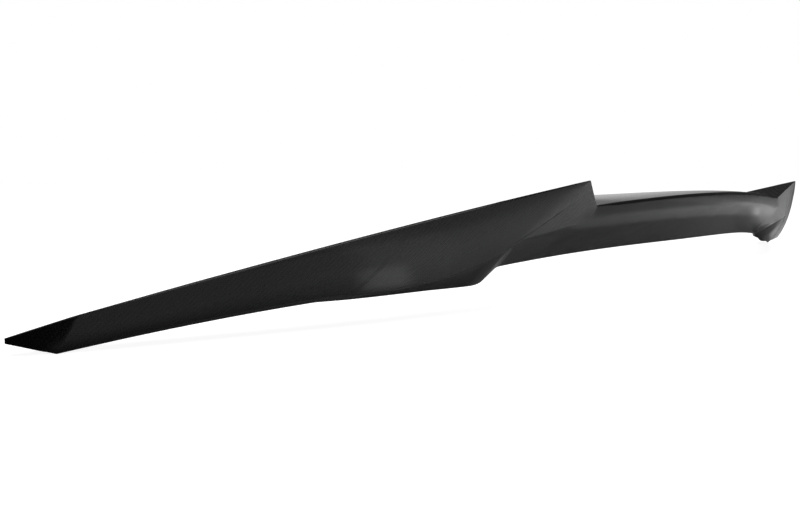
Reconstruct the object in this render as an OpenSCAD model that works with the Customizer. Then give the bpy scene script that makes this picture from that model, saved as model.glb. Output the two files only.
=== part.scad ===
// Bow-shaped trunk-lid spoiler: one moulded laminate shell with a recessed middle and two raised wings.
// X runs across the car, Y forward and Z up. The origin is the middle of the deck's leading edge,
// on the underside that is bonded to the lid. The two halves mirror each other about X = 0.

/* [Overall] */
// Width over the two tips
overall_w = 1221; // [1185:1:1255]
// How far forward the middle's trailing edge would run if its curve went on to the tips
sweep = 156.3; // [142.3:1:166.3]
// How far forward of the middle the leading edge runs at the tips
lead_sweep = 96.8; // [88.8:1:104.8]
// Depth of the deck from front to back at the middle
deck_l = 70; // [66:1:76]

/* [Recessed middle] */
// Distance between the feet of the two steps
recess_w = 438; // [424:2:446]
// Height of the middle's trailing edge above the bond line
middle_h = 3.7; // [2.8:0.1:4.6]
// Fall of that edge from the middle to the steps
middle_fall = 8.3; // [7:0.1:9.6]
// Height of the rear face at the middle
face_h = 43.3; // [41.3:0.1:45.3]
// How far forward the lower edge is tucked under at the middle
face_tuck = 40; // [36:1:44]
// Height from the trailing edge down to the soft bend
bend_drop = 17.1; // [15:0.1:19]
// Length of each leg of the soft bend's curve
bend_soft = 13.5; // [9:0.5:16]

/* [Wings] */
// Distance between the wings' inner top corners
corner_gap = 500; // [490:2:510]
// Height of those corners above the bond line
corner_h = 13.7; // [11:0.1:17]
// Distance of those corners behind the middle of the leading edge
corner_back = 60; // [57:1:63]
// Sweep of the wings' trailing edge at those corners, seen from above
wing_sweep = 14.7; // [14:0.1:15.5]
// How much further forward the wings curve by the fold of the tips
wing_bow = 33.5; // [31:0.5:36]
// Fall of the wings' trailing edge at those corners, seen from behind
wing_fall = 8.7; // [8.3:0.1:9.1]
// How much further down the wings curve by the fold of the tips
wing_arch = 17; // [15:0.1:18.5]
// Lean of the wings' rear faces from upright
wing_lean = 17.2; // [16:0.1:19]
// Distance between the inner ends of the feet
foot_gap = 623; // [613:1:633]
// How far the feet reach below the bond line
foot_drop = 57.3; // [54:0.1:60]
// Half the span at which the diagonal crease reaches the lower edge
merge_x = 430; // [420:1:440]

/* [Tips] */
// Length of the folded tip along the span
tip_l = 22.5; // [19:0.5:26]
// Height of the tip's blunt end
tip_h = 2.9; // [2.4:0.1:3.6]

/* [Shell] */
// Thickness of the laminate
wall = 2; // [1.6:0.1:2.6]
// Thickness of the feathered leading edge
lead_t = 0.8; // [0.6:0.1:1.2]
// Depth of the bonding land behind the leading edge
land_l = 14; // [10:1:18]
// Length of the return flange inside the lower edge
flange_l = 10; // [7:0.5:12]
// Leg of the small curve on the lower edge, on the steps and at the tips
edge_soft = 1.1; // [0.8:0.1:1.8]
// Leg of the curve along the rest of the trailing edge
top_soft = 3; // [2:0.1:4]

/* [Hidden] */

half_w = overall_w / 2;
step_x = recess_w / 2;
corner_x = corner_gap / 2;
foot_x = foot_gap / 2;
fold_x = half_w - tip_l;

// Stretches of the span, as stations: middle, step, wing with crease, plain blade and tip
STEP_AT = 1;
CREASE_AT = 2;
CORNER_AT = 2.15;
HEEL_AT = 2.5;
MERGE_AT = 3;
FOLD_AT = 4;
TIP_AT = 5;
SOLID_AT = 4.12;

// Stretches between these stations with the steps in each
STRETCHES = [
    [0, STEP_AT, 12],
    [STEP_AT, CREASE_AT, 5],
    [CREASE_AT, CORNER_AT, 2],
    [CORNER_AT, HEEL_AT, 8],
    [HEEL_AT, MERGE_AT, 6],
    [MERGE_AT, FOLD_AT, 11]
];

// Number or point at the share t of the way from a to b
function mix(a, b, t) = a + (b - a) * t;
// Share of the way between two stations that s has reached
function part_of(s, from, to) = (s - from) / (to - from);
// The same as mix, but held at a before the way and at b after it
function ease(a, b, t) = mix(a, b, max(0, min(1, t)));

// Share of the way between two stations, gathering pace and slowing down again
function smooth(s, from, to) = let(t = max(0, min(1, part_of(s, from, to)))) t * t * (3 - 2 * t);

// Point at t on the curve that leaves a towards c and reaches b from c
function curve(a, c, b, t) = mix(mix(a, c, t), mix(c, b, t), t);

// Whether s lies in the reach of a softened kink, given as stations before and after it
function in_reach(s, at, reach) = s > at - reach[0] && s < at + reach[1];
// Share of that reach
function reached(s, at, reach) = (s - at + reach[0]) / (reach[0] + reach[1]);

// Trailing edge of the middle and of the wings at a distance x from the car's middle
function middle_edge(x) = [
    x,
    -deck_l + sweep * pow(x / half_w, 2),
    middle_h - middle_fall * pow(x / step_x, 2)
];
wing_run = fold_x - corner_x;
function wing_edge(x) = let(d = x - corner_x) [
    x,
    -corner_back + tan(wing_sweep) * d + wing_bow * pow(d / wing_run, 2),
    corner_h - tan(wing_fall) * d - wing_arch * pow(d / wing_run, 2)
];

// Point of the leaning wing face at x and height z
function on_wing(x, z) = [x, wing_edge(x).y + tan(wing_lean) * (wing_edge(x).z - z), z];

// Step between the middle and a wing, with the start of the diagonal crease on its edge
step_foot = middle_edge(step_x);
corner = wing_edge(corner_x);
CREASE_START = 0.63;
crease_start = mix(step_foot, corner, CREASE_START);

// Diagonal crease: straight to the elbow where the notch's hollow corner meets it, then curving outward
ELBOW_X = 305;
CREASE_PULL_X = 347;
ELBOW_RISE = 30.5;
CREASE_PULL_RISE = 3.8;
MERGE_RISE = 0.5;
CREASE_LAND = 1.5;
elbow = on_wing(ELBOW_X, -foot_drop + ELBOW_RISE);
merge_z = -foot_drop + MERGE_RISE;
function crease_at(t) = let(
    pull = [CREASE_PULL_X, -foot_drop + CREASE_PULL_RISE],
    p = curve([ELBOW_X, elbow.z], pull, [merge_x, merge_z + CREASE_LAND], t)
) on_wing(p.x, p.y);

// Lower edge: tucked under the middle, down the notch to the foot, then outward along the wing
LOW_SWEEP = 111.9;
NOTCH_FALL = 7.7;
NOTCH_RUN = 25.5;
FOOT_BACK = 1;
FOOT_DIP = 0.5;
HEEL_X = 334;
HEEL_Y = -13;
HEEL_RISE = 0.5;
HEEL_END_X = 368;
HEEL_END_RISE = 0.7;
HEEL_TUCK = 5;
notch_x = foot_x - NOTCH_RUN;
function middle_low(x) = [
    x,
    -deck_l + face_tuck + LOW_SWEEP * pow(x / half_w, 2),
    middle_h - face_h - NOTCH_FALL * pow(x / notch_x, 3)
];
notch = middle_low(notch_x);
foot = [foot_x, notch.y - FOOT_BACK, -foot_drop - FOOT_DIP];
heel = [HEEL_X, HEEL_Y, -foot_drop + HEEL_RISE];
heel_end = on_wing(HEEL_END_X, -foot_drop + HEEL_END_RISE) + [0, HEEL_TUCK, 0];
KINK_X = 453;
KINK_SLOPE = 0.075;
KINK_CURVE = 0.0003;
function past_kink(x) = max(0, x - KINK_X);
function wing_low(x) = on_wing(x, merge_z - KINK_SLOPE * past_kink(x) - KINK_CURVE * pow(past_kink(x), 2));

// Leading edge: flat over the middle of the lid, then turning down along the lid's shoulder
LEAD_FLAT_X = 205;
LEAD_TURN = 50;
LEAD_SLOPE = 0.172;
LEAD_ARCH = 0.00003;
function lead_drop(d) =
    d <= 0 ? 0 :
    d <= LEAD_TURN ? LEAD_SLOPE * d * d / (2 * LEAD_TURN) :
    LEAD_SLOPE * (d - LEAD_TURN / 2) + LEAD_ARCH * pow(d - LEAD_TURN, 2);
function lead_edge(x) = [
    x,
    lead_sweep * pow(x / half_w, 2),
    lead_t - lead_drop(x - LEAD_FLAT_X)
];

// Soft bend across the middle's rear face
BEND_TUCK = 3.2;
BEND_FALL = 5;
BEND_PAST_STEP = 13;
function bend_line(x) = [
    x,
    -deck_l + BEND_TUCK + sweep * pow(x / half_w, 2),
    middle_h - bend_drop - BEND_FALL * pow(x / step_x, 2)
];
bend_end = bend_line(step_x + BEND_PAST_STEP);

// Tip: the rear face folds forward behind the last crease
TIP_FORWARD = 18.6;
TIP_DOWN = 10;
TIP_RAKE = 1;
TIP_FRONT = [-7, 8, -3];
tip_top = wing_edge(fold_x) + [tip_l, TIP_FORWARD, -TIP_DOWN];
tip_low = tip_top + [-TIP_RAKE, TIP_RAKE, -tip_h];
tip_lead = tip_top + TIP_FRONT;

// Rails along the span, each as a point for a station s. The step's triangular wall is folded towards
// a short stretch of the leading edge, and the lower edge runs on under it for NOTCH_LEAD.
NOTCH_LEAD = 30;
APEX_IN_X = 252;
APEX_OUT_X = 258;
BLADE_X = 395;
function trailing(s) =
    s <= STEP_AT ? middle_edge(step_x * s) :
    s <= CREASE_AT ? mix(step_foot, crease_start, part_of(s, STEP_AT, CREASE_AT)) :
    s <= CORNER_AT ? mix(crease_start, corner, part_of(s, CREASE_AT, CORNER_AT)) :
    s <= MERGE_AT ? wing_edge(mix(corner_x, BLADE_X, part_of(s, CORNER_AT, MERGE_AT))) :
    s <= FOLD_AT ? wing_edge(mix(BLADE_X, fold_x, part_of(s, MERGE_AT, FOLD_AT))) :
    mix(wing_edge(fold_x), tip_top, part_of(s, FOLD_AT, TIP_AT));

function leading(s) =
    s <= STEP_AT ? lead_edge(APEX_IN_X * s) :
    s <= CORNER_AT ? lead_edge(mix(APEX_IN_X, APEX_OUT_X, part_of(s, STEP_AT, CORNER_AT))) :
    s <= MERGE_AT ? lead_edge(mix(APEX_OUT_X, BLADE_X, part_of(s, CORNER_AT, MERGE_AT))) :
    s <= FOLD_AT ? lead_edge(mix(BLADE_X, fold_x, part_of(s, MERGE_AT, FOLD_AT))) :
    mix(lead_edge(fold_x), tip_lead, part_of(s, FOLD_AT, TIP_AT));

// Lower edge with sharp kinks, then with the notch's hollow corner and the foot's end softened
function sharp_lower(s) =
    s <= STEP_AT ? middle_low((notch_x - NOTCH_LEAD) * s) :
    s <= CREASE_AT ? middle_low(notch_x - NOTCH_LEAD * (CREASE_AT - s)) :
    s <= CORNER_AT ? mix(notch, foot, part_of(s, CREASE_AT, CORNER_AT)) :
    s <= HEEL_AT ? curve(foot, heel, heel_end, part_of(s, CORNER_AT, HEEL_AT)) :
    s <= MERGE_AT ? mix(heel_end, wing_low(merge_x), part_of(s, HEEL_AT, MERGE_AT)) :
    s <= FOLD_AT ? wing_low(mix(merge_x, fold_x, part_of(s, MERGE_AT, FOLD_AT))) :
    mix(wing_low(fold_x), tip_low, part_of(s, FOLD_AT, TIP_AT));
NOTCH_REACH = [0.12, 0.04];
FOOT_REACH = [0.04, 0.14];
function soft_lower(s, at, reach) =
    curve(sharp_lower(at - reach[0]), sharp_lower(at), sharp_lower(at + reach[1]), reached(s, at, reach));
function lower(s) =
    in_reach(s, CREASE_AT, NOTCH_REACH) ? soft_lower(s, CREASE_AT, NOTCH_REACH) :
    in_reach(s, CORNER_AT, FOOT_REACH) ? soft_lower(s, CORNER_AT, FOOT_REACH) :
    sharp_lower(s);

// Beyond the crease the bend lies this share of the way down the rear face, where it bends nothing
CREASE_END = 0.93;
BEND_REACH = [0.12, 0.25];
function sharp_bend(s) =
    s <= STEP_AT ? bend_line(bend_end.x * s) :
    s <= CREASE_AT ? mix(bend_end, elbow, part_of(s, STEP_AT, CREASE_AT)) :
    s <= MERGE_AT ? crease_at(part_of(s, CREASE_AT, MERGE_AT)) :
    mix(trailing(s), lower(s), CREASE_END);
bend_before = sharp_bend(STEP_AT - BEND_REACH[0]);
bend_after = sharp_bend(STEP_AT + BEND_REACH[1]);
function bend(s) =
    in_reach(s, STEP_AT, BEND_REACH) ?
        curve(bend_before, bend_end, bend_after, reached(s, STEP_AT, BEND_REACH)) :
    sharp_bend(s);

// Legs of the curve that softens the bend, never more than a share of the faces beside it
CREASE_SOFT = 1.3;
LEG_SHARE = 0.42;
function bend_leg(s) = ease(bend_soft, CREASE_SOFT, part_of(s, STEP_AT, CREASE_AT));
function leg_share(leg, a, b) = min(leg / norm(b - a), LEG_SHARE);

// Softened corner at b between its neighbours a and c, as n points
function soft_corner(a, b, c, leg, n) = let(
    from = mix(b, a, leg_share(leg, b, a)),
    to = mix(b, c, leg_share(leg, b, c))
) [for (i = [0 : n - 1]) curve(from, b, to, i / (n - 1))];

// Points strictly between a and b
function between(a, b, n) = [for (i = [1 : n]) mix(a, b, i / (n + 1))];

// Deck between the leading and trailing edges: crowned in the middle, and dished on the wings
// so that it kicks up to the trailing edge. The depth is negative where the deck is crowned.
DISH_MIDDLE = -2.3;
DISH_STEP = -0.25;
DISH_WING = 1.8;
DISH_AT_FOLD = 0.2;
N_DECK = 6;
function dish(s) =
    s > FOLD_AT ? 0 :
    s < STEP_AT ? mix(DISH_MIDDLE, DISH_STEP, s * s) :
    ease(DISH_STEP, DISH_WING, part_of(s, STEP_AT, CREASE_AT))
        * ease(DISH_AT_FOLD, 1, part_of(s, FOLD_AT, MERGE_AT));
function dished(a, b, depth, n) = [
    for (i = [1 : n]) let(t = i / (n + 1)) mix(a, b, t) - [0, 0, 4 * depth * t * (1 - t)]
];

// Square-on direction in a section, to the left of the way from a to b
function inward(a, b) = let(d = [b.y - a.y, b.z - a.z]) [0, -d.y, d.x] / norm(d);
// Inner corner of the laminate behind the outer corner v
function mitre(v, n1, n2, t) = v + t * (n1 + n2) / (1 + n1 * n2);

// Crown of the rear face above the bend, as a share of its height: fuller on the wings than in the middle
CROWN_MIDDLE = 0.03;
CROWN_WING = 0.05;
CROWN_FROM = 0.8;
CROWN_TO = 1.3;
CROWN_END = [3.7, 4.1];
function face_crown(s) =
    s < CREASE_AT ? CROWN_MIDDLE * (1 - smooth(s, CROWN_FROM, CROWN_TO)) :
    CROWN_WING * smooth(s, CREASE_AT, MERGE_AT) * (1 - smooth(s, CROWN_END[0], CROWN_END[1]));
// Points moved outward by their share of the crown on the face from b to c
function bulged(points, b, c, share) = let(
    out = -4 * share * norm(c - b) * inward(b, c)
) [
    for (p = points) let(
        t = max(0, min(1, (p - b) * (c - b) / ((c - b) * (c - b))))
    ) p + out * t * (1 - t)
];

// Leg of the curve on the trailing edge: small on the steps and at the tips, larger elsewhere
STEP_SOFT_FROM = 0.85;
WING_SOFT_FROM = 2.35;
TIP_SOFT = [3.6, 4.2];
function top_leg(s) = let(
    along = s < CORNER_AT ? 1 - smooth(s, STEP_SOFT_FROM, STEP_AT) : smooth(s, CORNER_AT, WING_SOFT_FROM)
) ease(mix(edge_soft, top_soft, along), edge_soft, part_of(s, TIP_SOFT[0], TIP_SOFT[1]));

// Outer skin of a station, from the leading edge over the deck and down the rear face
N_EDGE = 5;
N_BEND = 4;
N_UPPER = 5;
N_LOWER = 2;
function outer_skin(s) = let(
    a = leading(s),
    b = trailing(s),
    c = bend(s),
    d = lower(s),
    deck_end = mix(b, a, leg_share(top_leg(s), b, a)),
    edge = soft_corner(a, b, c, top_leg(s), N_EDGE),
    turn = soft_corner(b, c, d, bend_leg(s), N_BEND),
    foot_end = mix(d, c, leg_share(edge_soft, d, c))
) concat(
    [a],
    dished(a, deck_end, dish(s), N_DECK),
    bulged(concat(edge, between(edge[N_EDGE - 1], turn[0], N_UPPER), turn), b, c, face_crown(s)),
    between(turn[N_BEND - 1], foot_end, N_LOWER),
    [foot_end]
);

// Lean of the return flange: nearly upright along the middle, more forward under the wings
FLANGE_LEAN_MIDDLE = 10;
FLANGE_LEAN_WING = 48;
FLANGE_SHARE = 0.34;
// The flange runs out between these stations, short of the tips
RUN_OUT_FROM = 3.7;
RUN_OUT_TO = 3.95;
function flange_lean(s) = ease(FLANGE_LEAN_MIDDLE, FLANGE_LEAN_WING, part_of(s, CREASE_AT, MERGE_AT));
function flange_way(s) = [0, sin(flange_lean(s)), cos(flange_lean(s))];
function flange_len(s) = min(flange_l, FLANGE_SHARE * norm(trailing(s) - lower(s)));
function flange_left(s) = ease(1, 0, part_of(s, RUN_OUT_FROM, RUN_OUT_TO));

// Lower rim from the outer corner d round the flange's end towards the inner corner d_in
RIM_START = 0.1;
function rim(s, d, d_in, end_out, end_in) = let(
    round_flange = [mix(d, end_out, RIM_START), end_out, end_in, mix(end_in, d_in, 0.5)],
    n = len(round_flange),
    plain = between(d, d_in, n)
) [for (i = [0 : n - 1]) mix(plain[i], round_flange[i], flange_left(s))];

// Inside of a hollow station, from the lower edge up the flange, round the inside and to the bond line
N_INNER = 3;
N_UNDER = 5;
// From here outward the inside runs straight down behind the fading crease
STRAIGHT_AT = 2.7;
INSIDE_TURN = 0.6;
function hollow_inside(s) = let(
    a = leading(s),
    b = trailing(s),
    c = bend(s),
    d = lower(s),
    n_deck = inward(a, b),
    n_upper = inward(b, c),
    n_lower = inward(c, d),
    way = flange_way(s),
    n_flange = inward(d, d + way),
    flange_end = d + way * flange_len(s),
    d_in = mitre(d, n_lower, n_flange, wall),
    b_in = mitre(b, n_deck, n_upper, wall),
    behind_crease = mitre(c, n_upper, n_lower, wall),
    straight_down = mix(b_in, d_in, INSIDE_TURN),
    c_in = ease(behind_crease, straight_down, part_of(s, CORNER_AT, STRAIGHT_AT)),
    turn = soft_corner(d_in, c_in, b_in, bend_leg(s), N_BEND),
    land_share = land_l / norm(b - a),
    land = mix(a, b, land_share) - [0, 0, 4 * dish(s) * land_share * (1 - land_share)],
    land_in = land + n_deck * wall
) concat(
    rim(s, d, d_in, flange_end, flange_end + n_flange * wall),
    [d_in],
    bulged(
        concat(between(d_in, turn[0], N_INNER), turn, between(turn[N_BEND - 1], b_in, N_INNER)),
        b, c, face_crown(s)
    ),
    [b_in],
    dished(b_in, land_in, dish(s) * pow(1 - land_share, 2), N_UNDER),
    [land_in, a - [0, 0, lead_t]]
);

// Underside of a solid station, straight from the lower edge to the bond line
N_INSIDE = len(hollow_inside(0));
// Power that gathers the points near the lower edge, below the end of the return flange
GATHER = 1.8;
function solid_inside(s) = let(
    from = lower(s),
    to = leading(s) - [0, 0, lead_t]
) [for (i = [1 : N_INSIDE]) mix(from, to, pow(i / N_INSIDE, GATHER))];

function ring(s) = concat(outer_skin(s), s < SOLID_AT ? hollow_inside(s) : solid_inside(s));
function mirrored(points) = [for (p = points) [-p.x, p.y, p.z]];

// Stations from the car's middle to one tip
HALF = concat(
    [for (stretch = STRETCHES, i = [1 : stretch[2]]) mix(stretch[0], stretch[1], i / stretch[2])],
    [SOLID_AT, mix(SOLID_AT, TIP_AT, 0.5), TIP_AT]
);

module spoiler_shell() {
    rings = concat(
        [for (i = [len(HALF) - 1 : -1 : 0]) mirrored(ring(HALF[i]))],
        [ring(0)],
        [for (s = HALF) ring(s)]
    );
    n = len(rings[0]);
    last = len(rings) - 1;
    sides = [
        for (r = [0 : last - 1], i = [0 : n - 1]) let(
            p = r * n + i,
            q = r * n + (i + 1) % n
        ) each [[p, q + n, q], [p, p + n, q + n]]
    ];
    caps = [
        [for (i = [0 : n - 1]) i],
        [for (i = [n - 1 : -1 : 0]) last * n + i]
    ];
    color("#1d1e20")
    polyhedron(points = [for (r = rings) each r], faces = concat(sides, caps), convexity = 8);
}

spoiler_shell();
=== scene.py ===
"""Trunk-lid spoiler: one moulded carbon laminate shell, seen from behind and to the left.

Lengths are in millimetres in the form's functions and in metres on every Blender object.
X runs across the car, Y forward and Z up. The two halves mirror each other about X = 0.
"""
import math

import bpy
from mathutils import Matrix, Vector


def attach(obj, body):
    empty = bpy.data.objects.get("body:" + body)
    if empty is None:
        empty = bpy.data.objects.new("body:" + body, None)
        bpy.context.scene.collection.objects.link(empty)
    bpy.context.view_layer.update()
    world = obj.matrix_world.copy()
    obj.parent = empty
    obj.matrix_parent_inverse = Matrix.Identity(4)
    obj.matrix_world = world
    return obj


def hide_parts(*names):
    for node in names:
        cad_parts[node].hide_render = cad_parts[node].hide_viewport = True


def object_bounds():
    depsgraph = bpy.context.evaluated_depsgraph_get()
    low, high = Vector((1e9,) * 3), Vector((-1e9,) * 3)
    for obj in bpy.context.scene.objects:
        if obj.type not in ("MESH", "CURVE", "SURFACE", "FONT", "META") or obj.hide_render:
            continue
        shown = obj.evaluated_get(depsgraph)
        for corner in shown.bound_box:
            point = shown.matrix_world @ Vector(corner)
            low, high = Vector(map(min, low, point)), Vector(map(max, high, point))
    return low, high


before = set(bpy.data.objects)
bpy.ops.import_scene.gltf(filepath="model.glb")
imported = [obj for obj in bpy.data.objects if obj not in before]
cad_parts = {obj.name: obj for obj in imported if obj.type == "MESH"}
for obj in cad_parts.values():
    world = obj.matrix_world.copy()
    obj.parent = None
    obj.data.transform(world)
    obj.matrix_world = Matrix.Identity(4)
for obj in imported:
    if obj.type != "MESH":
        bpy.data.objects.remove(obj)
cad_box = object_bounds()
MM = 0.001

# Overall sizes, as in the part's source. EDGE_SOFT and FOOT_SOFT are the drawn form's own.
OVERALL_W = 1221
SWEEP = 156.3
LEAD_SWEEP = 96.8
LOW_SWEEP = 111.9
DECK_L = 70
RECESS_W = 438
MIDDLE_H = 3.7
MIDDLE_FALL = 8.3
FACE_H = 43.3
FACE_TUCK = 40
BEND_DROP = 17.1
BEND_SOFT = 13.5
CORNER_GAP = 500
CORNER_H = 13.7
CORNER_BACK = 60
WING_SLOPE = math.tan(math.radians(14.7))
WING_BOW = 33.5
WING_FALL = math.tan(math.radians(8.7))
WING_ARCH = 17
WING_LEAN = math.tan(math.radians(17.2))
FOOT_GAP = 623
FOOT_DROP = 57.3
MERGE_X = 430
TIP_L = 22.5
TIP_H = 2.9
WALL = 2
LEAD_T = 0.8
LAND_L = 14
FLANGE_L = 10
EDGE_SOFT = 1.3
TOP_SOFT = 3.0
FOOT_SOFT = 0.7
DROOP = 0.4
DROOP_FROM_X = 520

HALF_W = OVERALL_W / 2
STEP_X = RECESS_W / 2
CORNER_X = CORNER_GAP / 2
FOOT_X = FOOT_GAP / 2
FOLD_X = HALF_W - TIP_L
NOTCH_X = FOOT_X - 25.5
WING_RUN = FOLD_X - CORNER_X
MERGE_Z = -FOOT_DROP + 0.5

# Stations along the span where the form changes
STEP_AT = 1
CREASE_AT = 2
CORNER_AT = 2.15
HEEL_AT = 2.5
MERGE_AT = 3
FOLD_AT = 4
TIP_AT = 5


def mix(a, b, t):
    """The point or number at the share t of the way from a to b."""
    return a + (b - a) * t


def held(t):
    return max(0.0, min(1.0, t))


def ease(a, b, t):
    return mix(a, b, held(t))


def smooth(t):
    t = held(t)
    return t * t * (3 - 2 * t)


def part_of(s, start, end):
    return (s - start) / (end - start)


def curve(a, c, b, t):
    """The point at t on the curve that leaves a towards c and reaches b from c."""
    return mix(mix(a, c, t), mix(c, b, t), t)


def middle_edge(x):
    return Vector((x, -DECK_L + SWEEP * (x / HALF_W) ** 2, MIDDLE_H - MIDDLE_FALL * (x / STEP_X) ** 2))


def wing_edge(x):
    d = x - CORNER_X
    bow = (d / WING_RUN) ** 2
    droop = DROOP * smooth(part_of(x, DROOP_FROM_X, FOLD_X - 4))
    back = -CORNER_BACK + WING_SLOPE * d + WING_BOW * bow
    return Vector((x, back, CORNER_H - WING_FALL * d - WING_ARCH * bow - droop))


def on_wing(x, z):
    """The point of the leaning wing face at x and height z."""
    edge = wing_edge(x)
    return Vector((x, edge.y + WING_LEAN * (edge.z - z), z))


STEP_FOOT = middle_edge(STEP_X)
CORNER = wing_edge(CORNER_X)
CREASE_SHARE = 0.63
CREASE_START = mix(STEP_FOOT, CORNER, CREASE_SHARE)
ELBOW_X = 305
ELBOW = on_wing(ELBOW_X, -FOOT_DROP + 30.5)
CREASE_PULL = Vector((347, -FOOT_DROP + 3.8))
CREASE_LAND = Vector((MERGE_X, MERGE_Z + 1.5))


def crease_at(t):
    p = curve(Vector((ELBOW_X, ELBOW.z)), CREASE_PULL, CREASE_LAND, t)
    return on_wing(p.x, p.y)


def middle_low(x):
    return Vector((
        x,
        -DECK_L + FACE_TUCK + LOW_SWEEP * (x / HALF_W) ** 2,
        MIDDLE_H - FACE_H - 7.7 * (x / NOTCH_X) ** 3,
    ))


NOTCH = middle_low(NOTCH_X)
FOOT = Vector((FOOT_X, NOTCH.y - 1, -FOOT_DROP - 0.5))
HEEL = Vector((334, -13, -FOOT_DROP + 0.5))
HEEL_END = on_wing(368, -FOOT_DROP + 0.4) + Vector((0, 5, 0))
KINK_X = 453
LOW_DROP = 1.0
LOW_FALL = 0.075
LOW_BOW = 0.00035


def wing_low(x):
    past = max(0.0, x - KINK_X)
    return on_wing(x, MERGE_Z - LOW_DROP - LOW_FALL * past - LOW_BOW * past ** 2)


LEAD_FLAT_X = 205
LEAD_TURN = 50
LEAD_SLOPE = 0.172
LEAD_BOW = 0.00003


def lead_drop(d):
    if d <= 0:
        return 0.0
    if d <= LEAD_TURN:
        return LEAD_SLOPE * d * d / (2 * LEAD_TURN)
    return LEAD_SLOPE * (d - LEAD_TURN / 2) + LEAD_BOW * (d - LEAD_TURN) ** 2


def lead_edge(x):
    return Vector((x, LEAD_SWEEP * (x / HALF_W) ** 2, LEAD_T - lead_drop(x - LEAD_FLAT_X)))


def bend_line(x):
    return Vector((
        x,
        -DECK_L + 3.2 + SWEEP * (x / HALF_W) ** 2,
        MIDDLE_H - BEND_DROP - 5 * (x / STEP_X) ** 2,
    ))


BEND_END = bend_line(STEP_X + 13)
FOLD_TOP_X = FOLD_X - 4
FOLD_LOW_X = FOLD_X + 2.5
TIP_TOP = wing_edge(FOLD_X) + Vector((TIP_L + 1.2, 19.2, -9.3))
TIP_LOW = TIP_TOP + Vector((-1, 1, -TIP_H - 0.3))
TIP_LEAD = TIP_TOP + Vector((-7, 8, -3))
APEX_IN_X = 252
APEX_OUT_X = 258
BLADE_X = 395


def raw_trailing(s):
    if s <= STEP_AT:
        return middle_edge(STEP_X * s)
    if s <= CREASE_AT:
        return mix(STEP_FOOT, CREASE_START, part_of(s, STEP_AT, CREASE_AT))
    if s <= CORNER_AT:
        return mix(CREASE_START, CORNER, part_of(s, CREASE_AT, CORNER_AT))
    if s <= MERGE_AT:
        return wing_edge(mix(CORNER_X, BLADE_X, part_of(s, CORNER_AT, MERGE_AT)))
    if s <= FOLD_AT:
        return wing_edge(mix(BLADE_X, FOLD_TOP_X, part_of(s, MERGE_AT, FOLD_AT)))
    return mix(wing_edge(FOLD_TOP_X), TIP_TOP, part_of(s, FOLD_AT, TIP_AT))


def raw_leading(s):
    if s <= STEP_AT:
        return lead_edge(APEX_IN_X * s)
    if s <= CORNER_AT:
        return lead_edge(mix(APEX_IN_X, APEX_OUT_X, part_of(s, STEP_AT, CORNER_AT)))
    if s <= MERGE_AT:
        return lead_edge(mix(APEX_OUT_X, BLADE_X, part_of(s, CORNER_AT, MERGE_AT)))
    if s <= FOLD_AT:
        return lead_edge(mix(BLADE_X, FOLD_X, part_of(s, MERGE_AT, FOLD_AT)))
    return mix(lead_edge(FOLD_X), TIP_LEAD, part_of(s, FOLD_AT, TIP_AT))


def raw_lower(s):
    if s <= STEP_AT:
        return middle_low((NOTCH_X - 30) * s)
    if s <= CREASE_AT:
        return middle_low(NOTCH_X - 30 * (CREASE_AT - s))
    if s <= CORNER_AT:
        return mix(NOTCH, FOOT, part_of(s, CREASE_AT, CORNER_AT))
    if s <= HEEL_AT:
        return curve(FOOT, HEEL, HEEL_END, part_of(s, CORNER_AT, HEEL_AT))
    if s <= MERGE_AT:
        return mix(HEEL_END, wing_low(MERGE_X), part_of(s, HEEL_AT, MERGE_AT))
    if s <= FOLD_AT:
        return wing_low(mix(MERGE_X, FOLD_LOW_X, part_of(s, MERGE_AT, FOLD_AT)))
    return mix(wing_low(FOLD_LOW_X), TIP_LOW, part_of(s, FOLD_AT, TIP_AT))


def raw_bend(s):
    if s <= STEP_AT:
        return bend_line(BEND_END.x * s)
    if s <= CREASE_AT:
        return mix(BEND_END, ELBOW, part_of(s, STEP_AT, CREASE_AT))
    if s <= MERGE_AT:
        return crease_at(part_of(s, CREASE_AT, MERGE_AT))
    return mix(raw_trailing(s), raw_lower(s), 0.93)


def rounded(rail, kinks):
    """The rail with each kink eased: kinks maps a station to its reach in stations before and after it."""
    def eased(s):
        for at, (before, after) in kinks.items():
            if at - before < s < at + after:
                t = (s - at + before) / (before + after)
                # The share along the eased curve that keeps an even pace on both sides
                return curve(rail(at - before), rail(at), rail(at + after), t)
        return rail(s)
    return eased


trailing = rounded(raw_trailing, {STEP_AT: (0.006, 0.04), CORNER_AT: (0.011, 0.006), FOLD_AT: (0.01, 0.06)})
leading = rounded(raw_leading, {FOLD_AT: (0.02, 0.1)})
lower = rounded(raw_lower, {CREASE_AT: (0.1, 0.02), CORNER_AT: (0.032, 0.11), FOLD_AT: (0.003, 0.015)})
bend = rounded(raw_bend, {STEP_AT: (0.12, 0.25)})

CREASE_SOFT = 1.3
LEG_SHARE = 0.42
DECK_CROWN = 2.3
WING_DISH = 1.5
CREST_DISH = -0.1
STEP_DISH = -0.25
MIDDLE_CROWN = 0.03
WING_CROWN = 0.05
STEP_SOFT = 1.1
GROOVE = 0.3
BLEND = 0.14

# Points around a section
DECK_POINTS = 14
EDGE_POINTS = 9
FACE_POINTS = 12
TURN_POINTS = 15
FOOT_POINTS = 5
# Points of the rim, past the outer skin, that keep the outer skin's finish
RIM_POINTS = 4


def bend_leg(s):
    return ease(BEND_SOFT, CREASE_SOFT, part_of(s, STEP_AT, CREASE_AT))


def edge_leg(s):
    """Leg of the trailing edge's curve: small along the step and the tip, larger elsewhere."""
    along = min(1 - smooth(part_of(s, 0.85, STEP_AT)) + smooth(part_of(s, 2.15, 2.35)), 1)
    return ease(mix(STEP_SOFT, TOP_SOFT, along), EDGE_SOFT, part_of(s, 3.6, FOLD_AT + 0.2))


def leg_share(leg, a, b):
    return min(leg / (b - a).length, LEG_SHARE)


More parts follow.
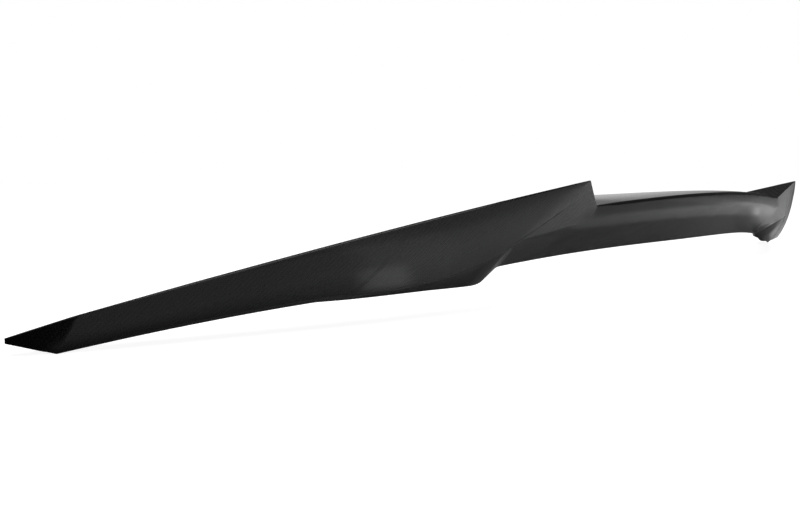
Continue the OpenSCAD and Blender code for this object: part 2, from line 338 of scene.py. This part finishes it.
def soft_corner(a, b, c, leg, n):
    start = mix(b, a, leg_share(leg, b, a))
    end = mix(b, c, leg_share(leg, b, c))
    return [curve(start, b, end, i / (n - 1)) for i in range(n)]


def between(a, b, n):
    return [mix(a, b, i / (n + 1)) for i in range(1, n + 1)]


def dish(s):
    """How far the deck dips below the line between its edges; negative where it is crowned."""
    if s > FOLD_AT:
        return 0.0
    if s < STEP_AT:
        return mix(-DECK_CROWN, STEP_DISH, s * s)
    if s < CORNER_AT:
        return ease(STEP_DISH, CREST_DISH, part_of(s, STEP_AT, CREASE_AT))
    depth = ease(CREST_DISH, WING_DISH, part_of(s, CORNER_AT, HEEL_AT))
    return depth * ease(0.2, 1, part_of(s, FOLD_AT, MERGE_AT))


def dished(a, b, depth, n):
    points = []
    for i in range(1, n + 1):
        t = i / (n + 1)
        points.append(mix(a, b, t) - Vector((0, 0, 4 * depth * t * (1 - t))))
    return points


def bulged(points, b, c, height):
    """The points moved outward by their share of a crown of the given height on the face from b to c."""
    way = c - b
    out = inward(b, c) * -4 * height
    moved = []
    for p in points:
        t = held((p - b).dot(way) / way.length_squared)
        moved.append(p + out * (t * (1 - t)))
    return moved


def face_crown(s):
    """Height of the rear face's crown as a share of the face's own height."""
    if s < CREASE_AT:
        return MIDDLE_CROWN * (1 - smooth(part_of(s, 0.8, 1.3)))
    before_fold = 1 - smooth(part_of(s, FOLD_AT - 0.3, FOLD_AT + 0.1))
    return WING_CROWN * smooth(part_of(s, CREASE_AT, MERGE_AT)) * before_fold


def face_ends(s):
    """Where the face above the bend starts below the trailing edge's curve and ends above the bend's."""
    b, c = trailing(s), bend(s)
    return mix(b, c, leg_share(edge_leg(s), b, c)), mix(c, b, leg_share(bend_leg(s), c, b))


def blended_face(s, out, n):
    """Points down the face above the bend. Near the wing's corner they are averaged along the span, so that
    the faces that meet there run into one another, less and less towards the crease. The crease's own
    fine groove fades out towards the step's edge."""
    near = 1 - smooth(part_of(abs(s - 2.08), 0.3, 0.6))
    along_crease = smooth(1 - abs(s - CREASE_AT) / (0.016 if s < CREASE_AT else 0.010))
    points = []
    for i in range(1, n + 1):
        t = i / (n + 1)
        reach = BLEND * near * min(1, t / 0.15) * (1 - t)
        steps = range(-3, 4) if reach > 0 else [0]
        samples = [mix(*face_ends(s + reach * k / 3), t) for k in steps]
        mean = sum(samples, Vector((0, 0, 0))) / len(samples)
        points.append(mean - out * (GROOVE * along_crease * smooth(part_of(t, 0.25, 0.6))))
    return points


def grooved(turn, s, n_upper, n_lower):
    """The crease's curve with a fine groove along it, which fades out at both ends."""
    depth = GROOVE * smooth(part_of(s, 1.99, 2.01)) * (1 - smooth(part_of(s, 2.6, 2.9)))
    half = (len(turn) - 1) / 2
    away = (n_upper + n_lower) * 0.5
    return [p + away * (depth * smooth(1 - abs(i - half) / half)) for i, p in enumerate(turn)]


def inward(a, b):
    """The square-on direction in a section, to the left of the way from a to b."""
    dy, dz = b.y - a.y, b.z - a.z
    return Vector((0, -dz, dy)) / math.hypot(dy, dz)


def mitre(v, n1, n2, t):
    return v + (n1 + n2) * (t / (1 + n1.dot(n2)))


def flange_left(s):
    return 1 - smooth(part_of(s, 3.7, 3.95))


def ring(s):
    """The closed section of the shell at station s: its points and where the outer skin ends."""
    a, b, c, d = leading(s), trailing(s), bend(s), lower(s)
    lean = math.radians(ease(10, 48, part_of(s, CREASE_AT, MERGE_AT)))
    way = Vector((0, math.sin(lean), math.cos(lean)))
    reach = min(FLANGE_L, 0.34 * (b - d).length)
    n_deck, n_upper, n_lower = inward(a, b), inward(b, c), inward(c, d)
    n_flange = inward(d, d + way)
    tip_share = smooth(part_of(s, 4.02, 4.3))
    end_out = d + way * reach
    end_in = end_out + n_flange * WALL
    d_in = mitre(d, n_lower, n_flange, WALL)
    b_in = mitre(b, n_deck, n_upper, WALL)
    behind_crease = mitre(c, n_upper, n_lower, WALL)
    c_in = ease(behind_crease, mix(b_in, d_in, 0.6), part_of(s, CORNER_AT, 2.7))
    land_share = LAND_L / (b - a).length
    land = mix(a, b, land_share) - Vector((0, 0, dish(s) * 4 * land_share * (1 - land_share)))
    a_low = a - Vector((0, 0, LEAD_T))

    outer = [a]
    deck_end = mix(b, a, leg_share(edge_leg(s), b, a))
    outer += dished(a, deck_end, dish(s), DECK_POINTS)
    edge = soft_corner(a, b, c, edge_leg(s), EDGE_POINTS)
    turn = soft_corner(b, c, d, bend_leg(s), TURN_POINTS)
    foot = soft_corner(c, d, end_out, FOOT_SOFT, FOOT_POINTS)
    crown = face_crown(s) * (c - b).length
    upper = bulged(edge + blended_face(s, -n_upper, FACE_POINTS) + turn, b, c, crown)
    outer += upper[:-TURN_POINTS] + grooved(upper[-TURN_POINTS:], s, n_upper, n_lower)
    outer += between(turn[-1], foot[0], 8) + foot

    flange = between(foot[-1], end_out, 2)
    flange += soft_corner(foot[-1], end_out, end_in, 0.5, 3) + soft_corner(end_out, end_in, d_in, 0.5, 3)
    flange += between(end_in, d_in, 3)
    plain = between(foot[-1], d_in, len(flange))
    rim = [mix(p, f, flange_left(s)) for p, f in zip(plain, flange)]
    inside_turn = soft_corner(d_in, c_in, b_in, bend_leg(s), 9)
    land_in = land + n_deck * WALL
    inner = rim + soft_corner(rim[-1], d_in, inside_turn[0], 1.0, 3)
    inner_face = between(d_in, inside_turn[0], 5) + inside_turn + between(inside_turn[-1], b_in, 5)
    inner += bulged(inner_face, b, c, crown) + soft_corner(inside_turn[-1], b_in, land_in, 1.5, 4)
    inner += dished(b_in, land_in, dish(s) * (1 - land_share) ** 2, 9)
    inner += [land_in] + between(land_in, a_low, 3) + [a_low]
    if tip_share > 0:
        flat = [mix(d, a_low, ((i + 1) / len(inner)) ** 1.3) for i in range(len(inner))]
        inner = [mix(p, q, tip_share) for p, q in zip(inner, flat)]
    return outer, inner


def stations():
    """Stations from the middle to one tip, closer together where the form turns quickly."""
    spans = [
        (0, 0.86, 40), (0.86, 1.3, 44), (1.3, 1.8, 16), (1.8, 1.98, 14), (1.98, 2.0, 6), (2.0, 2.25, 60),
        (2.25, 3.0, 60), (3.0, 3.96, 60), (3.96, 4.16, 40), (4.16, 5, 16),
    ]
    result = [0.0]
    for start, end, n in spans:
        result += [mix(start, end, i / n) for i in range(1, n + 1)]
    return result


def plan_lengths():
    """Length of the trailing edge in plan from the middle out to each whole millimetre of x."""
    lengths = [0.0]
    for x in range(int(HALF_W) + 2):
        edge = middle_edge if x < STEP_X else wing_edge
        lengths.append(lengths[-1] + math.hypot(1, edge(x + 1).y - edge(x).y))
    return lengths


PLAN = plan_lengths()


def plan_at(x):
    whole = min(int(abs(x)), len(PLAN) - 2)
    return math.copysign(mix(PLAN[whole], PLAN[whole + 1], abs(x) - whole), x)


def cloth_row(points, start):
    """How far each point lies down the cloth from the trailing edge, which is the point of index start."""
    down = [0.0] * len(points)
    for i in range(1, len(points)):
        p, q = points[i - 1], points[i]
        down[i] = down[i - 1] + math.hypot(q.y - p.y, q.z - p.z)
    return [value - down[start] for value in down]


def shell_mesh(name):
    half = stations()
    rows = []
    for s in half:
        outer, inner = ring(s)
        points = outer + inner
        rows.append((points, cloth_row(points, 1 + DECK_POINTS + EDGE_POINTS // 2), len(outer)))
    mirrored = []
    for points, down, n_outer in reversed(rows[1:]):
        mirrored.append(([Vector((-p.x, p.y, p.z)) for p in points], down, n_outer))
    rings = mirrored + rows
    n = len(rings[0][0])
    verts, cloth, bare = [], [], []
    for points, down, n_outer in rings:
        for i, p in enumerate(points):
            verts.append(p * MM)
            cloth.append((plan_at(p.x), down[i], 0.0))
            bare.append(0.0 if i < n_outer + RIM_POINTS else 1.0)
    faces = []
    for r in range(len(rings) - 1):
        for i in range(n):
            j = (i + 1) % n
            faces.append((r * n + i, r * n + j, (r + 1) * n + j, (r + 1) * n + i))
    last = (len(rings) - 1) * n
    faces.append(tuple(range(n - 1, -1, -1)))
    faces.append(tuple(last + i for i in range(n)))
    mesh = bpy.data.meshes.new(name)
    mesh.from_pydata(verts, [], faces)
    cloth_layer = mesh.attributes.new("cloth", "FLOAT_VECTOR", "POINT")
    cloth_layer.data.foreach_set("vector", [v for row in cloth for v in row])
    bare_layer = mesh.attributes.new("bare", "FLOAT", "POINT")
    bare_layer.data.foreach_set("value", bare)
    mesh.shade_smooth()
    mesh.set_sharp_from_angle(angle=math.radians(32))
    mesh.validate()
    return mesh


class Nodes:
    """Small helper that adds shader nodes to a material or world and links them."""

    def __init__(self, tree):
        self.tree = tree
        tree.nodes.clear()

    def add(self, kind, inputs=None, **settings):
        node = self.tree.nodes.new(kind)
        for key, value in settings.items():
            setattr(node, key, value)
        for key, value in (inputs or {}).items():
            if hasattr(value, "is_output"):
                self.tree.links.new(value, node.inputs[key])
            else:
                node.inputs[key].default_value = value
        return node

    def math(self, operation, a, b=0.0, c=0.0):
        return self.add("ShaderNodeMath", {0: a, 1: b, 2: c}, operation=operation).outputs[0]

    def blend(self, share, a, b):
        """A number between a and b."""
        return self.add("ShaderNodeMix", {0: share, 2: a, 3: b}, data_type="FLOAT").outputs[0]

    def tint(self, share, a, b):
        """A colour between a and b."""
        return self.add("ShaderNodeMix", {0: share, 6: a, 7: b}, data_type="RGBA").outputs[2]

    def smooth(self, value, low, high, to_low=0.0, to_high=1.0):
        inputs = {"Value": value, "From Min": low, "From Max": high, "To Min": to_low, "To Max": to_high}
        return self.add("ShaderNodeMapRange", inputs, interpolation_type="SMOOTHSTEP").outputs[0]

    def steps(self, value, levels):
        """A number that passes through each level at its place, with eased ways between them."""
        total = levels[0][1]
        for (start, low), (end, high) in zip(levels, levels[1:]):
            total = self.math("ADD", total, self.smooth(value, start, end, 0.0, high - low))
        return total


# Width of one tow of the twill, in millimetres
TOW = 1.06


def carbon():
    """Clear-coated 2 x 2 twill: warp and weft tows that float over two and dive under two."""
    material = bpy.data.materials.new("carbon_twill")
    material.use_nodes = True
    n = Nodes(material.node_tree)
    cloth = n.add("ShaderNodeAttribute", attribute_name="cloth").outputs["Vector"]
    bare = n.add("ShaderNodeAttribute", attribute_name="bare").outputs["Fac"]
    drift = n.add("ShaderNodeTexNoise", {"Vector": cloth, "Scale": 0.012, "Detail": 2.0})
    axes = n.add("ShaderNodeSeparateXYZ", {0: cloth})
    sway = n.math("MULTIPLY_ADD", drift.outputs[0], 2.4, -1.2)
    u = n.math("DIVIDE", n.math("ADD", axes.outputs[0], sway), TOW)
    v = n.math("DIVIDE", n.math("SUBTRACT", axes.outputs[1], sway), TOW)
    col = n.math("FLOOR", u)
    row = n.math("FLOOR", v)
    across_warp = n.math("SUBTRACT", n.math("FRACT", u), 0.5)
    across_weft = n.math("SUBTRACT", n.math("FRACT", v), 0.5)
    in_repeat = n.math("FLOORED_MODULO", n.math("ADD", col, row), 4.0)
    warp_up = n.math("LESS_THAN", in_repeat, 1.5)
    along_warp = n.math("DIVIDE", n.math("FLOORED_MODULO", n.math("ADD", col, v), 4.0), 2.0)
    weft_place = n.math("ADD", n.math("ADD", row, u), 2.0)
    along_weft = n.math("DIVIDE", n.math("FLOORED_MODULO", weft_place, 4.0), 2.0)
    across = n.blend(warp_up, across_weft, across_warp)
    along = n.blend(warp_up, along_weft, along_warp)
    ridge = n.math("COSINE", n.math("MULTIPLY", across, math.pi))
    arch = n.math("SINE", n.math("MULTIPLY", along, math.pi))
    crown = n.math("MULTIPLY", n.math("POWER", n.math("MAXIMUM", ridge, 0.0), 0.45),
                   n.math("POWER", n.math("MAXIMUM", arch, 0.0), 0.55))

    fibre_uv = n.add("ShaderNodeCombineXYZ", {0: n.math("MULTIPLY", axes.outputs[0], 9.0),
                                               1: n.math("MULTIPLY", axes.outputs[1], 0.5)}).outputs[0]
    fibre_vu = n.add("ShaderNodeCombineXYZ", {0: n.math("MULTIPLY", axes.outputs[0], 0.5),
                                               1: n.math("MULTIPLY", axes.outputs[1], 9.0)}).outputs[0]
    warp_fibre = n.add("ShaderNodeTexNoise", {"Vector": fibre_uv, "Scale": 1.0, "Detail": 1.0}).outputs[0]
    weft_fibre = n.add("ShaderNodeTexNoise", {"Vector": fibre_vu, "Scale": 1.0, "Detail": 1.0}).outputs[0]
    fibre = n.blend(warp_up, weft_fibre, warp_fibre)

    # The warp tows are painted lighter than the weft tows: a painted sheen that stands in for how differently
    # the two ways of tow catch the light
    warp_painted_lit = (0.015, 0.015, 0.0155, 1)
    weft_painted_shaded = (0.006, 0.006, 0.0065, 1)
    resin = (0.003, 0.003, 0.0035, 1)
    tow_painted_light = n.tint(warp_up, weft_painted_shaded, warp_painted_lit)
    streaks_and_painted_sheen = n.tint(n.math("MULTIPLY", fibre, 0.45), tow_painted_light, resin)
    colour = n.tint(n.smooth(crown, 0.1, 0.75), resin, streaks_and_painted_sheen)

    height = n.math("ADD", n.math("MULTIPLY", crown, 1.0), n.math("MULTIPLY", fibre, 0.1))
    relief = n.smooth(n.math("ABSOLUTE", axes.outputs[0]), 280.0, 480.0, 0.22, 0.5)
    bump_inputs = {"Strength": relief, "Distance": 0.0002, "Height": height}
    weave_bump = n.add("ShaderNodeBump", bump_inputs).outputs[0]
    cloud = n.add("ShaderNodeTexNoise", {"Vector": cloth, "Scale": 0.035, "Detail": 3.0}).outputs[0]
    rough = n.blend(bare, n.smooth(cloud, 0.3, 0.7, 0.34, 0.42), n.smooth(cloud, 0.3, 0.7, 0.5, 0.66))
    bsdf = n.add("ShaderNodeBsdfPrincipled", {
        "Base Color": colour, "Roughness": rough, "Normal": weave_bump,
        "Metallic": 0.0, "IOR": 1.45, "Specular IOR Level": 0.12,
        "Coat Weight": 1.0, "Coat Roughness": 0.11, "Coat IOR": 1.5,
    })
    n.add("ShaderNodeOutputMaterial", {"Surface": bsdf.outputs[0]})
    return material


def shell():
    mesh = shell_mesh("spoiler_skin")
    mesh.materials.append(carbon())
    piece = bpy.data.objects.new("spoiler_skin", mesh)
    bpy.context.scene.collection.objects.link(piece)
    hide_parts("spoiler_shell")
    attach(piece, "root")
    return piece


def camera():
    data = bpy.data.cameras.new("photo_camera")
    data.lens = 45.65
    data.sensor_width = 36
    data.clip_start = 0.01
    right = Vector((0.59484, -0.80384, -0.00022))
    up = Vector((0.06637, 0.04884, 0.9966))
    back = Vector((-0.80109, -0.59284, 0.08239))
    place = Vector((-0.8954, -0.3727, 0.01225))
    eye = bpy.data.objects.new("photo_camera", data)
    eye.matrix_world = Matrix.Translation(place) @ Matrix((right, up, back)).transposed().to_4x4()
    bpy.context.scene.collection.objects.link(eye)
    bpy.context.scene.camera = eye


# Painted light and shade on the paper that the object sees under it, at places across the car in metres,
# darkest in a painted shadow under the near tip
FLOOR_PAINTED_LIGHT = [
    (-0.602, 0.02), (-0.588, 0.4), (-0.5, 0.43), (-0.42, 0.52), (-0.385, 0.8), (-0.34, 0.8), (-0.28, 0.66),
    (0.3, 0.66), (0.4, 0.9), (0.6, 0.9), (0.66, 0.62),
]
# The object stands a little above the floor, which its lowest point would otherwise pass
FLOOR_GAP = 0.0027
# The trailing edge in plan, in metres: how far it lies back at the middle, and how it curves forward
EDGE_BACK = 0.07
EDGE_CURVE = 0.352


def floor():
    """White floor for the camera. The object sees paper with painted light and shade: painted light that
    varies across the car and from back to front, a painted shadow under the object, and a faintly glowing
    strip behind each heel that is a painted glow."""
    lowest = cad_box[0][2] - FLOOR_GAP
    mesh = bpy.data.meshes.new("floor")
    size = 30
    corners = [(-size, -size, lowest), (size, -size, lowest), (size, size, lowest), (-size, size, lowest)]
    mesh.from_pydata(corners, [], [(0, 1, 2, 3)])
    ground = bpy.data.objects.new("floor", mesh)
    bpy.context.scene.collection.objects.link(ground)
    material = bpy.data.materials.new("floor_white")
    material.use_nodes = True
    n = Nodes(material.node_tree)
    place = n.add("ShaderNodeSeparateXYZ", {0: n.add("ShaderNodeNewGeometry").outputs["Position"]})
    # Painted light and shade across the car, with a painted shadow under the near tip
    across = n.steps(place.outputs[0], FLOOR_PAINTED_LIGHT)
    # Painted light that falls off towards the back
    behind = n.smooth(place.outputs[1], -0.24, -0.15, 0.7, 1.0)
    # How far a point lies in front of the trailing edge, which curves forward towards the tips
    under = n.math("SUBTRACT", n.math("ADD", place.outputs[1], EDGE_BACK),
                   n.math("MULTIPLY", n.math("POWER", n.math("ABSOLUTE", place.outputs[0]), 2.0), EDGE_CURVE))
    # Painted shadow of the object on the floor, darker the further a point lies in under it
    painted_shadow = n.steps(under, [(0.0, 1.0), (0.02, 0.62), (0.045, 0.62), (0.06, 0.34)])
    # Painted light and shade together, on paper that only the object sees
    painted_level = n.math("MULTIPLY", n.math("MULTIPLY", across, behind), painted_shadow)
    tone = n.add("ShaderNodeCombineColor", {0: painted_level, 1: painted_level, 2: painted_level}).outputs[0]
    paper = n.add("ShaderNodeBsdfDiffuse", {"Color": tone})
    # Painted glow: a faintly glowing strip on the floor behind each heel, seen only by the object
    heel = n.steps(n.math("ABSOLUTE", place.outputs[0]), [(0.36, 0.0), (0.38, 0.4), (0.4, 0.4), (0.42, 0.0)])
    strip = n.steps(under, [(-0.045, 0.0), (-0.02, 1.0), (-0.005, 1.0), (0.007, 0.0)])
    painted_glow = n.add("ShaderNodeEmission", {"Color": (1, 1, 1, 1), "Strength": n.math("MULTIPLY", heel, strip)})
    painted_card = n.add("ShaderNodeAddShader", {0: paper.outputs[0], 1: painted_glow.outputs[0]})
    shaded = n.add("ShaderNodeBsdfDiffuse", {"Color": (0.5, 0.5, 0.5, 1)})
    far_off = n.add("ShaderNodeVectorMath", {0: n.add("ShaderNodeNewGeometry").outputs["Position"]},
                    operation="LENGTH").outputs["Value"]
    strength = n.smooth(far_off, 0.5, 1.6, 0.92, 1.05)
    glow = n.add("ShaderNodeEmission", {"Color": (1, 1, 1, 1), "Strength": strength})
    lit = n.add("ShaderNodeAddShader", {0: shaded.outputs[0], 1: glow.outputs[0]})
    seen = n.add("ShaderNodeLightPath").outputs["Is Camera Ray"]
    pick = n.add("ShaderNodeMixShader", {0: seen, 1: painted_card.outputs[0], 2: lit.outputs[0]})
    n.add("ShaderNodeOutputMaterial", {"Surface": pick.outputs[0]})
    mesh.materials.append(material)


def surroundings():
    """White for the camera. The object sees a low grey wall ahead of the viewer and another behind them,
    in a dim room."""
    world = bpy.data.worlds.new("studio")
    bpy.context.scene.world = world
    world.use_nodes = True
    n = Nodes(world.node_tree)
    way = n.add("ShaderNodeTexCoord").outputs["Generated"]
    ahead = n.add("ShaderNodeVectorMath", {0: way, 1: (0.6, 0.8, 0)},
                  operation="DOT_PRODUCT").outputs["Value"]
    height = n.add("ShaderNodeSeparateXYZ", {0: way}).outputs[2]
    sides = n.math("ADD", n.smooth(ahead, 0.77, 0.88), n.smooth(ahead, -0.85, -0.3, 1.0, 0.0))
    wall = n.math("MULTIPLY", sides, n.smooth(height, 0.18, 0.4, 1.0, 0.0))
    level = n.math("MULTIPLY_ADD", wall, 0.6, 0.05)
    white = n.add("ShaderNodeBackground", {"Color": (1, 1, 1, 1), "Strength": 1.0})
    room = n.add("ShaderNodeBackground", {"Color": (1, 1, 1, 1), "Strength": level})
    seen = n.add("ShaderNodeLightPath").outputs["Is Camera Ray"]
    pick = n.add("ShaderNodeMixShader", {0: seen, 1: room.outputs[0], 2: white.outputs[0]})
    n.add("ShaderNodeOutputWorld", {"Surface": pick.outputs[0]})


def softbox(name, place, aim, size, power, mirrored):
    data = bpy.data.lights.new(name, "AREA")
    data.shape = "RECTANGLE"
    data.size, data.size_y = size
    data.energy = power
    lamp = bpy.data.objects.new(name, data)
    lamp.location = place
    lamp.visible_glossy = mirrored
    lamp.visible_diffuse = not mirrored
    lamp.rotation_euler = (Vector(aim) - Vector(place)).to_track_quat("-Z", "Y").to_euler()
    bpy.context.scene.collection.objects.link(lamp)


shell()
camera()
floor()
surroundings()
softbox("top_softbox", (-0.3, -0.16, 1.6), (-0.1, -0.08, 0), (2.6, 0.45), 25, False)
softbox("front_softbox", (-0.3, 1.8, 1.1), (0, 0, 0), (1.6, 0.6), 9, True)
softbox("rear_softbox", (-0.3, -1.8, 1.1), (0, 0, 0), (1.6, 0.6), 9, True)
softbox("upper_softbox", (0, 0.95, 1.6), (0, 0, 0), (2.2, 0.7), 12, True)

bpy.context.scene.view_settings.view_transform = "Standard"
